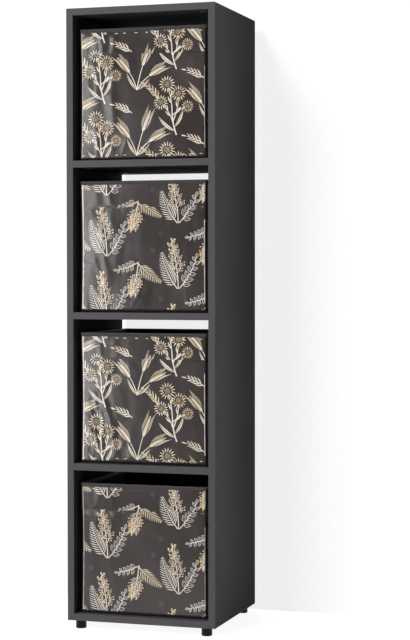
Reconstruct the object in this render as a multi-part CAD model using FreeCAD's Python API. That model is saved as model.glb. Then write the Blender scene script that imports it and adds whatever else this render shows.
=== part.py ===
import FreeCAD
import Part
import math
import os

# Tall narrow open shelving unit of melamine-faced board, with four equal compartments, an open
# back and four short feet. A fabric storage box stands in each compartment and pulls out.
# Millimetres, +Z up, the front faces -Y. The origin is on the floor, under the unit's middle.

# Carcass
unit_width = 360.0
unit_depth = 330.0
carcass_height = 1420.0
board_thickness = 16.0
compartment_count = 4

# Edge bands glued to the cut edges of the boards
band_thickness = 0.8
band_chamfer = 0.3

# Round plastic feet, each held by one screw from below
foot_height = 20.0
foot_top_diameter = 26.0
foot_base_diameter = 25.0
foot_edge_bevel = 1.5
foot_web = 7.0
foot_recess_diameter = 12.0
foot_flat_count = 24
foot_recess_flat_count = 12
foot_side_inset = 26.0
foot_end_inset = 20.0

# Countersunk foot screws
screw_diameter = 4.0
screw_head_diameter = 8.0
screw_head_height = 2.4
screw_cover = 4.0
screw_slot_width = 1.0
screw_slot_depth = 1.0

# Cam joints between the level boards and the sides: a bolt in the side, a cam in the board
joint_edge_inset = 37.0
cam_setback = 24.0
cam_diameter = 15.0
cam_cover = 3.5
cam_recess = 0.3
cam_slot_length = 10.0
cam_slot_width = 1.8
cam_slot_depth = 2.2
bolt_diameter = 6.0
bolt_tip_cover = 5.0
bolt_head_diameter = 8.0
bolt_head_length = 3.4
head_clearance = 0.3

# Wooden dowel midway between the two cam joints of a board's end
dowel_diameter = 8.0
dowel_board_depth = 20.0
dowel_cover = 6.0

# Fits and faces of the hidden hardware: its rounds are drawn with a few flats
bore_clearance = 0.1
bore_end_clearance = 0.5
rod_flat_count = 8
cam_flat_count = 12
overrun = 1.0

# Room round each storage box in its compartment
box_side_clearance = 8.0
box_front_setback = 20.0
box_back_clearance = 4.0
box_finger_gap = 31.0
box_floor_clearance = 0.3

# Layers of a storage box, from outside to inside
tape_thickness = 0.8
cover_thickness = 0.8
stiffener_thickness = 2.4
lining_thickness = 0.6
layer_clearance = 0.2

# Form of a storage box
rim_inner_radius = 1.5
corner_flat_count = 2
wall_draw_in = 1.5
wall_step_count = 4
rim_binding_height = 9.0
base_tape_height = 7.0
corner_tape_width = 6.0
stiffener_corner_gap = 7.0
base_board_thickness = 3.0
base_board_clearance = 1.5

# Worked-out places of the carcass
half_width = unit_width / 2
half_depth = unit_depth / 2
carcass_bottom = foot_height
carcass_top = carcass_bottom + carcass_height
inner_width = unit_width - 2 * board_thickness
inner_half_width = inner_width / 2
core_depth = unit_depth - 2 * band_thickness
board_count = compartment_count + 1
opening_height = (carcass_height - board_count * board_thickness) / compartment_count
board_pitch = opening_height + board_thickness

# Worked-out sizes of a storage box
box_width = inner_width - 2 * box_side_clearance
box_depth = unit_depth - box_front_setback - box_back_clearance
box_height = opening_height - box_finger_gap - box_floor_clearance
box_centre_y = -half_depth + box_front_setback + box_depth / 2
cover_inset = tape_thickness + layer_clearance
stiffener_inset = cover_inset + cover_thickness + layer_clearance
lining_inset = stiffener_inset + stiffener_thickness + layer_clearance
inner_inset = lining_inset + lining_thickness
rim_inset = inner_inset + layer_clearance + tape_thickness
box_corner_radius = rim_inset + rim_inner_radius
wall_top = box_height - tape_thickness - layer_clearance
rim_start = box_height - rim_binding_height
cover_floor = cover_thickness
lining_floor = cover_floor + layer_clearance + lining_thickness


def board_underside(index):
    """Height of the underside of a level board, counted from the bottom board."""
    return carcass_bottom + index * board_pitch


def block(x_range, y_range, z_range):
    """Box between two limits on each axis."""
    size = [limits[1] - limits[0] for limits in (x_range, y_range, z_range)]
    corner = FreeCAD.Vector(x_range[0], y_range[0], z_range[0])
    return Part.makeBox(size[0], size[1], size[2], corner)


def flat_face(points):
    """Face inside a ring of points."""
    return Part.Face(Part.makePolygon(list(points) + [points[0]]))


def stacked_solid(sections):
    """Solid with flat sides through level outlines that have as many points each, lowest first."""
    faces = [flat_face(sections[0]), flat_face(sections[-1])]
    for lower, upper in zip(sections, sections[1:]):
        for index in range(len(lower)):
            faces.append(flat_face((lower[index - 1], lower[index], upper[index], upper[index - 1])))
    return Part.makeSolid(Part.makeShell(faces))


def polygon(diameter, flats, height):
    """Points of a regular polygon of a width across its corners, about the upright axis."""
    points = []
    for corner in range(flats):
        angle = 2 * math.pi * (corner + 0.5) / flats
        points.append(FreeCAD.Vector(math.cos(angle) * diameter / 2, math.sin(angle) * diameter / 2, height))
    return points


def rod(diameter, length, base, axis, flats=rod_flat_count):
    """Many-sided rod of a width across its corners, from base along axis."""
    solid = flat_face(polygon(diameter, flats, 0)).extrude(FreeCAD.Vector(0, 0, length))
    solid.Placement = FreeCAD.Placement(base, FreeCAD.Rotation(FreeCAD.Vector(0, 0, 1), axis))
    return solid


upward = FreeCAD.Vector(0, 0, 1)

# Places of the joints: a bolt near the front and near the back of every board end
bolt_depths = (-half_depth + joint_edge_inset, half_depth - joint_edge_inset)
bolt_side_depth = board_thickness - bolt_tip_cover
dowel_side_depth = board_thickness - dowel_cover
cam_bore_depth = board_thickness - cam_cover
foot_places = {
    "front_left": (-half_width + foot_side_inset, -half_depth + foot_end_inset),
    "front_right": (half_width - foot_side_inset, -half_depth + foot_end_inset),
    "back_left": (-half_width + foot_side_inset, half_depth - foot_end_inset),
    "back_right": (half_width - foot_side_inset, half_depth - foot_end_inset),
}


def side_board(sign):
    """Upright side, full height, with blind bores in its inner face at every level board."""
    inner = sign * inner_half_width
    outer = sign * half_width
    panel = block(
        sorted((inner, outer)),
        (-core_depth / 2, core_depth / 2),
        (carcass_bottom + band_thickness, carcass_top - band_thickness),
    )
    outward = FreeCAD.Vector(sign, 0, 0)
    bolt_bore = bolt_diameter + 2 * bore_clearance
    bolt_length = overrun + bolt_side_depth + bore_end_clearance
    dowel_bore = dowel_diameter + 2 * bore_clearance
    dowel_length = overrun + dowel_side_depth + bore_end_clearance
    bores = []
    for index in range(board_count):
        middle = board_underside(index) + board_thickness / 2
        start = inner - sign * overrun
        for y in bolt_depths:
            bores.append(rod(bolt_bore, bolt_length, FreeCAD.Vector(start, y, middle), outward))
        bores.append(rod(dowel_bore, dowel_length, FreeCAD.Vector(start, 0, middle), outward))
    return panel.cut(Part.makeCompound(bores))


def level_board(index):
    """Top, bottom or shelf between the sides, bored for cams, bolts, dowels and foot screws."""
    underside = board_underside(index)
    middle = underside + board_thickness / 2
    panel = block(
        (-inner_half_width, inner_half_width),
        (-core_depth / 2, core_depth / 2),
        (underside, underside + board_thickness),
    )
    cam_bore = cam_diameter + 2 * bore_clearance
    bolt_bore = bolt_head_diameter + 2 * bore_clearance
    dowel_bore = dowel_diameter + 2 * bore_clearance
    dowel_length = overrun + dowel_board_depth + bore_end_clearance
    for sign in (-1, 1):
        inward = FreeCAD.Vector(-sign, 0, 0)
        cam_x = sign * (inner_half_width - cam_setback)
        start = sign * (inner_half_width + overrun)
        for y in bolt_depths:
            foot_of_bore = FreeCAD.Vector(cam_x, y, underside - overrun)
            panel = panel.cut(rod(cam_bore, overrun + cam_bore_depth, foot_of_bore, upward, cam_flat_count))
            panel = panel.cut(rod(bolt_bore, overrun + cam_setback, FreeCAD.Vector(start, y, middle), inward))
        panel = panel.cut(rod(dowel_bore, dowel_length, FreeCAD.Vector(start, 0, middle), inward))
    if index == 0:
        pilot = screw_diameter + 2 * bore_clearance
        length = overrun + board_thickness - screw_cover + bore_end_clearance
        for x, y in foot_places.values():
            panel = panel.cut(rod(pilot, length, FreeCAD.Vector(x, y, underside - overrun), upward))
    return panel


def edge_band(centre, across, outward, width, length):
    """Strip on a cut edge, with its two long outer arrises chamfered."""
    half = width / 2
    flat = half - band_chamfer
    shoulder = band_thickness - band_chamfer
    glued_face = ((-half, 0), (half, 0))
    open_face = ((half, shoulder), (flat, band_thickness), (-flat, band_thickness), (-half, shoulder))
    along = across.cross(outward)
    start = centre - along * (length / 2)
    outline = [start + across * a + outward * b for a, b in glued_face + open_face]
    outline.append(outline[0])
    return Part.Face(Part.makePolygon(outline)).extrude(along * length)


def long_edge_bands(facing):
    """Bands on the front (facing -1) or back (facing 1) edges of all boards."""
    outward = FreeCAD.Vector(0, facing, 0)
    y = facing * core_depth / 2
    middle_height = carcass_bottom + carcass_height / 2
    bands = []
    for sign in (-1, 1):
        centre = FreeCAD.Vector(sign * (half_width - board_thickness / 2), y, middle_height)
        bands.append(edge_band(centre, FreeCAD.Vector(1, 0, 0), outward, board_thickness, carcass_height))
    for index in range(board_count):
        centre = FreeCAD.Vector(0, y, board_underside(index) + board_thickness / 2)
        bands.append(edge_band(centre, FreeCAD.Vector(0, 0, 1), outward, board_thickness, inner_width))
    return Part.makeCompound(bands)


def end_edge_bands():
    """Bands on the top and bottom ends of the two sides."""
    bands = []
    for sign in (-1, 1):
        for end in (-1, 1):
            x = sign * (half_width - board_thickness / 2)
            z = carcass_bottom + carcass_height / 2 + end * (carcass_height / 2 - band_thickness)
            centre = FreeCAD.Vector(x, 0, z)
            outward = FreeCAD.Vector(0, 0, end)
            bands.append(edge_band(centre, FreeCAD.Vector(1, 0, 0), outward, board_thickness, core_depth))
    return Part.makeCompound(bands)


def cam_bolt(sign, y, middle):
    """Bolt screwed into a side, with the head that the cam grips."""
    inward = FreeCAD.Vector(-sign, 0, 0)
    head_start = cam_setback - bolt_head_length / 2
    tip = FreeCAD.Vector(sign * (inner_half_width + bolt_side_depth), y, middle)
    shank = rod(bolt_diameter, bolt_side_depth + head_start, tip, inward)
    head_place = FreeCAD.Vector(sign * (inner_half_width - head_start), y, middle)
    return shank.fuse(rod(bolt_head_diameter, bolt_head_length, head_place, inward))


def cam_housing(sign, y, underside):
    """Cam in the underside of a board, with a turning slot and the pocket that holds the bolt's head."""
    x = sign * (inner_half_width - cam_setback)
    middle = underside + board_thickness / 2
    face = underside + cam_recess
    height = cam_bore_depth - cam_recess - bore_end_clearance
    body = rod(cam_diameter, height, FreeCAD.Vector(x, y, face), upward, cam_flat_count)
    half_head = bolt_head_diameter / 2 + head_clearance
    half_pocket = bolt_head_length / 2 + head_clearance
    across = (y - half_head, y + half_head)
    heights = (middle - half_head, underside + cam_bore_depth)
    pocket = block((x - half_pocket, x + half_pocket), across, heights)
    half_shank = bolt_diameter / 2 + head_clearance
    mouth_end = x + sign * (cam_diameter / 2 + overrun)
    across = (y - half_shank, y + half_shank)
    heights = (middle - half_shank, underside + cam_bore_depth)
    mouth = block(sorted((x, mouth_end)), across, heights)
    half_long = cam_slot_length / 2
    half_short = cam_slot_width / 2
    heights = (face - overrun, face + cam_slot_depth)
    slot = block((x - half_short, x + half_short), (y - half_long, y + half_long), heights)
    for cut in (pocket, mouth, slot):
        body = body.cut(cut)
    return body


def dowel(sign, middle):
    """Wooden dowel, part in the side and part in the board."""
    start = FreeCAD.Vector(sign * (inner_half_width + dowel_side_depth), 0, middle)
    return rod(dowel_diameter, dowel_side_depth + dowel_board_depth, start, FreeCAD.Vector(-sign, 0, 0))


def joint_hardware():
    """Cams, bolts and dowels of all the board ends, as three groups of separate solids."""
    cams = []
    bolts = []
    dowels = []
    for index in range(board_count):
        underside = board_underside(index)
        middle = underside + board_thickness / 2
        for sign in (-1, 1):
            cams += [cam_housing(sign, y, underside) for y in bolt_depths]
            bolts += [cam_bolt(sign, y, middle) for y in bolt_depths]
            dowels.append(dowel(sign, middle))
    return {
        "cam_housings": Part.makeCompound(cams),
        "cam_bolts": Part.makeCompound(bolts),
        "dowels": Part.makeCompound(dowels),
    }


def foot(x, y):
    """Tapered round foot, bevelled below, hollow up to the web that its screw clamps."""
    hole = screw_diameter + 2 * bore_clearance
    outline = (
        (foot_base_diameter - 2 * foot_edge_bevel, 0),
        (foot_base_diameter, foot_edge_bevel),
        (foot_top_diameter, foot_height),
    )
    body = stacked_solid([polygon(width, foot_flat_count, height) for width, height in outline])
    below = FreeCAD.Vector(0, 0, -overrun)
    recess_length = overrun + foot_height - foot_web
    body = body.cut(rod(foot_recess_diameter, recess_length, below, upward, foot_recess_flat_count))
    body = body.cut(rod(hole, overrun + foot_height + overrun, below, upward))
    return body.translated(FreeCAD.Vector(x, y, 0))


def foot_screw(x, y):
    """Pan-head screw from the foot's recess up into the bottom board, with a straight slot."""
    seat = foot_height - foot_web
    shank_length = foot_web + board_thickness - screw_cover
    shank = rod(screw_diameter, shank_length, FreeCAD.Vector(x, y, seat), upward)
    head_bottom = seat - screw_head_height
    head = rod(screw_head_diameter, screw_head_height, FreeCAD.Vector(x, y, head_bottom), upward)
    half_head = screw_head_diameter / 2
    half_slot = screw_slot_width / 2
    heights = (head_bottom - overrun, head_bottom + screw_slot_depth)
    slot = block((x - half_head, x + half_head), (y - half_slot, y + half_slot), heights)
    return shank.fuse(head).cut(slot)


def wall_draw(height):
    """How far a box wall is drawn in at a height: nothing along the rim and base, most between them."""
    share = (height - base_tape_height) / (rim_start - base_tape_height)
    share = min(max(share, 0), 1)
    return wall_draw_in * math.sin(math.pi * share)


def wall_levels(low, high):
    """Heights of the wall's cross-sections between two limits."""
    span = rim_start - base_tape_height
    levels = [base_tape_height + span * step / wall_step_count for step in range(wall_step_count + 1)]
    return [low] + [level for level in levels if low < level < high] + [high]


def box_section(height, inset):
    """Corner points of a box's outline at a height, moved in from the outside by inset."""
    radius = box_corner_radius - inset
    middle_x = box_width / 2 - wall_draw(height) - box_corner_radius
    middle_y = box_depth / 2 - wall_draw(height) - box_corner_radius
    points = []
    for quarter, (sx, sy) in enumerate(((1, 1), (-1, 1), (-1, -1), (1, -1))):
        for step in range(corner_flat_count + 1):
            angle = math.pi / 2 * (quarter + step / corner_flat_count)
            x = sx * middle_x + radius * math.cos(angle)
            y = sy * middle_y + radius * math.sin(angle)
            points.append(FreeCAD.Vector(x, y, height))
    return points


def box_core(inset, low, high):
    """Solid of a box's outline, moved in by inset, between two heights."""
    return stacked_solid([box_section(height, inset) for height in wall_levels(low, high)])


def box_ring(outer_inset, inner_inset_value, low, high):
    """Wall layer of a box between two insets and two heights."""
    hollow = box_core(inner_inset_value, low - overrun, high + overrun)
    return box_core(outer_inset, low, high).cut(hollow)


def printed_cover():
    """Outer fabric: four walls and a floor in one skin."""
    hollow = box_core(cover_inset + cover_thickness, cover_floor, wall_top + overrun)
    return box_core(cover_inset, 0, wall_top).cut(hollow)


def box_lining():
    """Inner fabric: four walls and a floor, inside the stiffening boards."""
    hollow = box_core(inner_inset, lining_floor, wall_top + overrun)
    return box_core(lining_inset, cover_floor + layer_clearance, wall_top).cut(hollow)


def wall_stiffeners():
    """Boards sewn in between cover and lining, one to a wall, with free corners so that the box folds."""
    low = cover_floor + layer_clearance
    ring = box_ring(stiffener_inset, stiffener_inset + stiffener_thickness, low, wall_top)
    half_x = box_width / 2
    half_y = box_depth / 2
    clear_x = half_x - stiffener_inset - stiffener_corner_gap - wall_draw_in
    clear_y = half_y - stiffener_inset - stiffener_corner_gap - wall_draw_in
    heights = (low, wall_top)
    return {
        "front_board": ring.common(block((-clear_x, clear_x), (-half_y, 0), heights)),
        "back_board": ring.common(block((-clear_x, clear_x), (0, half_y), heights)),
        "left_board": ring.common(block((-half_x, 0), (-clear_y, clear_y), heights)),
        "right_board": ring.common(block((0, half_x), (-clear_y, clear_y), heights)),
    }


def rim_binding():
    """Tape folded over the rim, down the outside and the inside of the wall."""
    band = box_ring(0, rim_inset, rim_start, box_height)
    fold_inset = inner_inset + layer_clearance
    channel = box_ring(tape_thickness, fold_inset, rim_start - overrun, wall_top + layer_clearance)
    return band.cut(channel)


def seam_tapes():
    """Tape round the base and up the four corners, over the seams of the cover."""
    base = box_ring(0, tape_thickness, 0, base_tape_height)
    upright = box_ring(0, tape_thickness, base_tape_height, rim_start)
    half_x = box_width / 2
    half_y = box_depth / 2
    heights = (base_tape_height, rim_start)
    inner_x = half_x - wall_draw_in - corner_tape_width
    inner_y = half_y - wall_draw_in - corner_tape_width
    tapes = [base]
    for sx in (-1, 1):
        for sy in (-1, 1):
            x_range = sorted((sx * inner_x, sx * half_x))
            y_range = sorted((sy * inner_y, sy * half_y))
            tapes.append(upright.common(block(x_range, y_range, heights)))
    return Part.makeCompound(tapes)


def base_board():
    """Loose covered board that lies on the lining and keeps the box's floor flat."""
    margin = inner_inset + base_board_clearance
    low = lining_floor + layer_clearance
    half_x = box_width / 2 - margin
    half_y = box_depth / 2 - margin
    return block((-half_x, half_x), (-half_y, half_y), (low, low + base_board_thickness))


def storage_box():
    """All pieces of one storage box, standing on height zero about its own middle."""
    pieces = {
        "printed_cover": printed_cover(),
        "lining": box_lining(),
        "base_board": base_board(),
        "rim_binding": rim_binding(),
        "seam_tapes": seam_tapes(),
    }
    pieces.update(wall_stiffeners())
    return pieces


def shelving_unit():
    """Every node of the unit with its boxes, by name."""
    nodes = {
        "left_side": side_board(-1),
        "right_side": side_board(1),
        "bottom_board": level_board(0),
        "top_board": level_board(compartment_count),
        "front_edge_bands": long_edge_bands(-1),
        "back_edge_bands": long_edge_bands(1),
        "end_edge_bands": end_edge_bands(),
        "foot_screws": Part.makeCompound([foot_screw(x, y) for x, y in foot_places.values()]),
    }
    for number in range(1, compartment_count):
        nodes[f"shelf_{number}"] = level_board(compartment_count - number)
    for place, (x, y) in foot_places.items():
        nodes[f"foot_{place}"] = foot(x, y)
    nodes.update(joint_hardware())
    pieces = storage_box()
    for number in range(1, compartment_count + 1):
        floor = board_underside(compartment_count - number) + board_thickness
        place = FreeCAD.Vector(0, box_centre_y, floor + box_floor_clearance)
        for name, shape in pieces.items():
            nodes[f"box_{number}_{name}"] = shape.translated(place)
    return nodes


os.makedirs("parts", exist_ok=True)
for name, shape in shelving_unit().items():
    shape.exportStep(f"parts/{name}.step")
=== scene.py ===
import math
import random

import bpy
import numpy as np
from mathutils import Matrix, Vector, noise
from mathutils.geometry import delaunay_2d_cdt


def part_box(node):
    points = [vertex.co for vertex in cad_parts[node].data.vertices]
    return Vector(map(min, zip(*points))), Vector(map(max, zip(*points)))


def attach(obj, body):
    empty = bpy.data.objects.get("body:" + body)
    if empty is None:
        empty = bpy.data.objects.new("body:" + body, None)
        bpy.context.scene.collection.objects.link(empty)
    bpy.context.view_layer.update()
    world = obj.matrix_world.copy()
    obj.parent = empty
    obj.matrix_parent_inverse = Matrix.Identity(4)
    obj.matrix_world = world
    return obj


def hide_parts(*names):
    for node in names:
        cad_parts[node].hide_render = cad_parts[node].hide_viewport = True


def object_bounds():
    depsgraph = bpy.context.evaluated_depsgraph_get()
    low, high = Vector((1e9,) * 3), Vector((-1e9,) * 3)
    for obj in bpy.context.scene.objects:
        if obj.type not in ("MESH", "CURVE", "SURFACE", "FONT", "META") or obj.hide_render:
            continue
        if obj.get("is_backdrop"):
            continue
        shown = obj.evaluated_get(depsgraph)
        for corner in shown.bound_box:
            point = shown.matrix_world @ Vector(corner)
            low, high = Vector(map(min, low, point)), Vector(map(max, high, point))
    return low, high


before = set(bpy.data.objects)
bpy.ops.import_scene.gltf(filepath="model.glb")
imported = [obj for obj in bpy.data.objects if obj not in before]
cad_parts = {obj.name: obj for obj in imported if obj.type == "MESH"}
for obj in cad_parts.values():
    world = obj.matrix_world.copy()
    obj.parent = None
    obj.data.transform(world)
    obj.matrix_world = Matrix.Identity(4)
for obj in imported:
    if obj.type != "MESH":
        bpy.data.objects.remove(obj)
cad_low, cad_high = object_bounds()


# Boards: the two sides, the top, the bottom and three shelves are 16 mm chipboard faced with
# anthracite melamine paper, which has a matt, finely pearled surface. Cams and dowels hold them.
board_colour = (0.088, 0.0815, 0.0895)
board_roughness = 0.72
board_gloss = 0.04
pearl_per_metre = 850
pearl_depth = 0.00012


def feed(tree, socket, value):
    """Gives an input its plain value, or links it to the output that feeds it."""
    if isinstance(value, bpy.types.NodeSocket):
        tree.links.new(value, socket)
    else:
        socket.default_value = value


def place(tree, kind, sockets=None, **settings):
    """A shader node of a kind, with its settings and what each of its inputs takes."""
    node = tree.nodes.new("ShaderNode" + kind)
    for name, value in settings.items():
        setattr(node, name, value)
    for name, value in (sockets or {}).items():
        feed(tree, node.inputs[name], value)
    return node


def reckon(tree, operation, first, second=0.0):
    """The output of one sum on two numbers that vary over the surface."""
    return place(tree, "Math", {0: first, 1: second}, operation=operation).outputs[0]


def effect(name, takes, gives):
    """An empty group for one surface effect, with its named inputs and outputs."""
    group = bpy.data.node_groups.new(name, "ShaderNodeTree")
    for label, kind, value in takes:
        socket = group.interface.new_socket(label, in_out="INPUT", socket_type="NodeSocket" + kind)
        socket.default_value = value
    for label, kind in gives:
        group.interface.new_socket(label, in_out="OUTPUT", socket_type="NodeSocket" + kind)
    given = group.nodes.new("NodeGroupInput").outputs
    return group, given, group.nodes.new("NodeGroupOutput").inputs


def use(tree, group, **sockets):
    """One use of an effect in a material, with the values that it takes there."""
    return place(tree, "Group", sockets, node_tree=group).outputs


def finish(name, colour, **plain):
    """A material with one Principled shader, its unvarying values set on the shader itself."""
    material = bpy.data.materials.new(name)
    material.use_nodes = True
    material.diffuse_color = (*colour, 1)
    shader = material.node_tree.nodes["Principled BSDF"]
    for label, value in plain.items():
        shader.inputs[label.replace("_", " ")].default_value = value
    return material, material.node_tree, shader.inputs


def raise_surface(tree, shader, height, depth):
    """Bump from a height between 0 and 1, so many metres deep."""
    bump = place(tree, "Bump", {"Height": height, "Distance": depth, "Strength": 1.0})
    feed(tree, shader["Normal"], bump.outputs["Normal"])


def spread(tree, value, low, high, start=0.3, end=0.7):
    """A value between start and end, brought to between low and high."""
    return place(tree, "MapRange", {0: value, 1: start, 2: end, 3: low, 4: high}).outputs[0]


def scaled(tree, colour, share):
    """A colour made darker or lighter by a share that varies over the surface."""
    made = place(tree, "VectorMath", {0: colour, "Scale": share}, operation="SCALE")
    return made.outputs["Vector"]


def own_place(tree):
    """Each point's place on the object itself, so that a pattern moves with its piece."""
    return place(tree, "TexCoord").outputs["Object"]


def speckle(tree, spot, grain, detail):
    """Noise between 0 and 1, with about so many grains per metre."""
    noises = place(tree, "TexNoise", {"Vector": spot, "Scale": grain, "Detail": detail})
    return noises.outputs["Fac"]


def dress(material, *nodes):
    """Puts a material on carried-over nodes, in their own slots."""
    for name in nodes:
        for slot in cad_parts[name].material_slots:
            slot.material = material


pearl, given, result = effect(
    "pearled_surface",
    [("Colour", "Color", (0.1, 0.1, 0.1, 1)), ("Contrast", "Float", 0.1), ("Grain", "Float", 800)],
    [("Colour", "Color"), ("Dullness", "Float"), ("Height", "Float")],
)
fine = speckle(pearl, own_place(pearl), given["Grain"], 2.0)
broad = speckle(pearl, own_place(pearl), 7.0, 3.0)
swing = reckon(pearl, "ADD", *(reckon(pearl, "SUBTRACT", grains, 0.5) for grains in (fine, broad)))
share = reckon(pearl, "ADD", reckon(pearl, "MULTIPLY", swing, given["Contrast"]), 1.0)
feed(pearl, result["Colour"], scaled(pearl, given["Colour"], share))
feed(pearl, result["Dullness"], broad)
feed(pearl, result["Height"], fine)


def pearled(name, colour, contrast, grain, depth, duller, **plain):
    """A material with the pearled surface, between two roughnesses."""
    material, tree, shader = finish(name, colour, **plain)
    surface = use(tree, pearl, Colour=(*colour, 1), Contrast=contrast, Grain=grain)
    feed(tree, shader["Base Color"], surface["Colour"])
    feed(tree, shader["Roughness"], spread(tree, surface["Dullness"], *duller))
    raise_surface(tree, shader, surface["Height"], depth)
    return material


melamine = pearled("anthracite_melamine", board_colour, 0.22, pearl_per_metre, pearl_depth,
                   (board_roughness - 0.04, board_roughness + 0.05), Specular_IOR_Level=board_gloss)
dress(melamine, "left_side", "right_side", "top_board", "bottom_board",
      "shelf_1", "shelf_2", "shelf_3")


# Edge bands: thin plastic strips in the board's colour, ironed on to every cut edge and trimmed
# with a small chamfer. They are a little smoother than the faces.
band_plastic = pearled("anthracite_edge_band", board_colour, 0.16, 420, 0.00005, (0.42, 0.52),
                       Specular_IOR_Level=0.25)
dress(band_plastic, "front_edge_bands", "back_edge_bands", "end_edge_bands")


# Joint hardware: cast zinc cams let in from below, zinc-plated bolts in the sides and beech
# dowels between them. Only the slotted faces of the cams show, under each board.
zinc = pearled("cast_zinc", (0.50, 0.50, 0.51), 0.5, 1800, 0.0001, (0.35, 0.6), Metallic=1.0)
plated = pearled("zinc_plated_steel", (0.62, 0.62, 0.64), 0.3, 2500, 0.00004, (0.24, 0.38),
                 Metallic=1.0)
beech = pearled("beech", (0.60, 0.43, 0.26), 0.5, 300, 0.0002, (0.6, 0.75))
dress(zinc, "cam_housings")
dress(plated, "cam_bolts", "foot_screws")
dress(beech, "dowels")


# Feet: four short round feet moulded in black plastic, slightly tapered, with a rounded lower
# edge. Each is hollow underneath up to a web, where one screw holds it to the bottom board.
foot_hole = 0.0022
foot_recess = 0.0060
foot_web = 0.0070
foot_rounding = 0.0028
foot_edge = 0.0005
foot_taper = 0.965
foot_seam = 0.0009
foot_steps = 64
foot_sharp = 40
foot_plastic = pearled("black_moulded_plastic", (0.006, 0.006, 0.0065), 0.5, 1200, 0.00008,
                       (0.34, 0.5), Specular_IOR_Level=0.15)


def solid(name, points, faces, smooth=True):
    """A piece from its points and faces."""
    mesh = bpy.data.meshes.new(name)
    mesh.from_pydata([tuple(p) for p in points], [], faces)
    mesh.polygons.foreach_set("use_smooth", [smooth] * len(mesh.polygons))
    mesh.update()
    piece = bpy.data.objects.new(name, mesh)
    bpy.context.scene.collection.objects.link(piece)
    return piece


def rings_joined(ring_count, ring_size, closed):
    """Faces between rings of points that follow each other."""
    faces = []
    for ring in range(ring_count if closed else ring_count - 1):
        after = (ring + 1) % ring_count
        for step in range(ring_size):
            side = (step + 1) % ring_size
            faces.append((ring * ring_size + step, ring * ring_size + side,
                          after * ring_size + side, after * ring_size + step))
    return faces


def capped(ring_count, ring_size):
    """Faces between rings of points, with a face over the first ring and one over the last."""
    last = (ring_count - 1) * ring_size
    ends = [tuple(reversed(range(ring_size))), tuple(range(last, last + ring_size))]
    return rings_joined(ring_count, ring_size, False) + ends


def rounded(start, corner, end, steps):
    """Points of an arc that rounds a corner of an outline."""
    points = []
    for t in (step / steps for step in range(steps + 1)):
        points.append(tuple(a * (1 - t) ** 2 + 2 * b * t * (1 - t) + c * t ** 2
                            for a, b, c in zip(start, corner, end)))
    return points


def belong(piece, material, body, node, sharp=None):
    """Gives a piece its material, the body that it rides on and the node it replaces."""
    piece.data.materials.append(material)
    if sharp:
        piece.data.set_sharp_from_angle(angle=math.radians(sharp))
    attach(piece, body)
    if node:
        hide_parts(node)


for place_name in ("front_left", "front_right", "back_left", "back_right"):
    low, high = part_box(f"foot_{place_name}")
    centre = (low + high) / 2
    top_radius = (high.x - low.x) / 2
    base_radius = top_radius * foot_taper
    height = high.z - low.z
    outline = [(foot_hole, height), (top_radius - foot_edge, height),
               (top_radius, height - foot_edge), (top_radius - 0.0001, height - 2 * foot_seam),
               (top_radius - 0.0007, height - 3 * foot_seam)]
    outline += rounded((base_radius, foot_rounding), (base_radius, 0),
                       (base_radius - foot_rounding, 0), 5)
    outline += [(foot_recess + 0.0006, 0), (foot_recess, 0.0006)]
    outline += [(foot_recess - 0.0003, height - foot_web), (foot_hole, height - foot_web)]
    points = []
    for step in range(foot_steps):
        angle = 2 * math.pi * step / foot_steps
        x_way, y_way = math.cos(angle), math.sin(angle)
        points += [(centre.x + r * x_way, centre.y + r * y_way, low.z + z) for r, z in outline]
    foot = solid(f"moulded_foot_{place_name}", points, rings_joined(foot_steps, len(outline), True))
    belong(foot, foot_plastic, "carcass", f"foot_{place_name}", foot_sharp)


# Wall boards: four sheets of pressed greyboard stiffen the walls of each storage box, sewn in
# between the printed cover and the lining. A fifth, covered board lies loose on the floor.
box_names = ("box_1", "box_2", "box_3", "box_4")
greyboard = pearled("pressed_greyboard", (0.30, 0.27, 0.23), 0.5, 500, 0.0002, (0.75, 0.9))
floor_cloth = pearled("covered_floor_board", (0.016, 0.016, 0.017), 0.5, 700, 0.0004, (0.7, 0.85))
for name in box_names:
    dress(greyboard, *(f"{name}_{wall}_board" for wall in ("front", "back", "left", "right")))
    dress(floor_cloth, f"{name}_base_board")


# Print: fine plants in cream and gold ink on the charcoal cloth. The first cloth carries daisies,
# ears of grass and leafy twigs, the second ferns, berried plumes and round-leaved sprigs.
no_ink, faint, cream, straw, gold = 0.0, 0.25, 0.5, 0.75, 1.0
repeat_width = 0.174
repeat_height = 0.150
repeats_round = range(-2, 4)
tack_width = 0.0013
tack_margin = 0.006
under_tape = 0.0008
line_weight = 0.87
rib_gap = 0.0005
split_steps = 8
drawn_steps = 7
drawn_width = 0.0011
petal_count = 15
eye_share = 0.42
upright = math.pi / 2


def stem_line(x, y, heading, length, bend, steps=10):
    """Points of an evenly bending stem, each with the stem's heading there."""
    line = [(x, y, heading)]
    for _ in range(steps):
        heading += bend / steps / 2
        x += math.cos(heading) * length / steps
        y += math.sin(heading) * length / steps
        heading += bend / steps / 2
        line.append((x, y, heading))
    return line


def beside(x, y, heading, distance):
    """The point so far to the left of a place on a stem, or to its right if negative."""
    return x - math.sin(heading) * distance, y + math.cos(heading) * distance


def ahead_of(x, y, way, distance, share=1.0):
    """The point at a distance from another, or at a share of it."""
    return x + math.cos(way) * distance * share, y + math.sin(way) * distance * share


def stroke(line, start_width, end_width, ink):
    """A drawn line, as four-sided shapes that get narrower towards its end."""
    rims = []
    for index, stop in enumerate(line):
        width = start_width + (end_width - start_width) * index / (len(line) - 1)
        rims.append([beside(*stop, side * line_weight * width / 2) for side in (1, -1)])
    return [((a[1], b[1], b[0], a[0]), ink) for a, b in zip(rims, rims[1:])]


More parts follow.
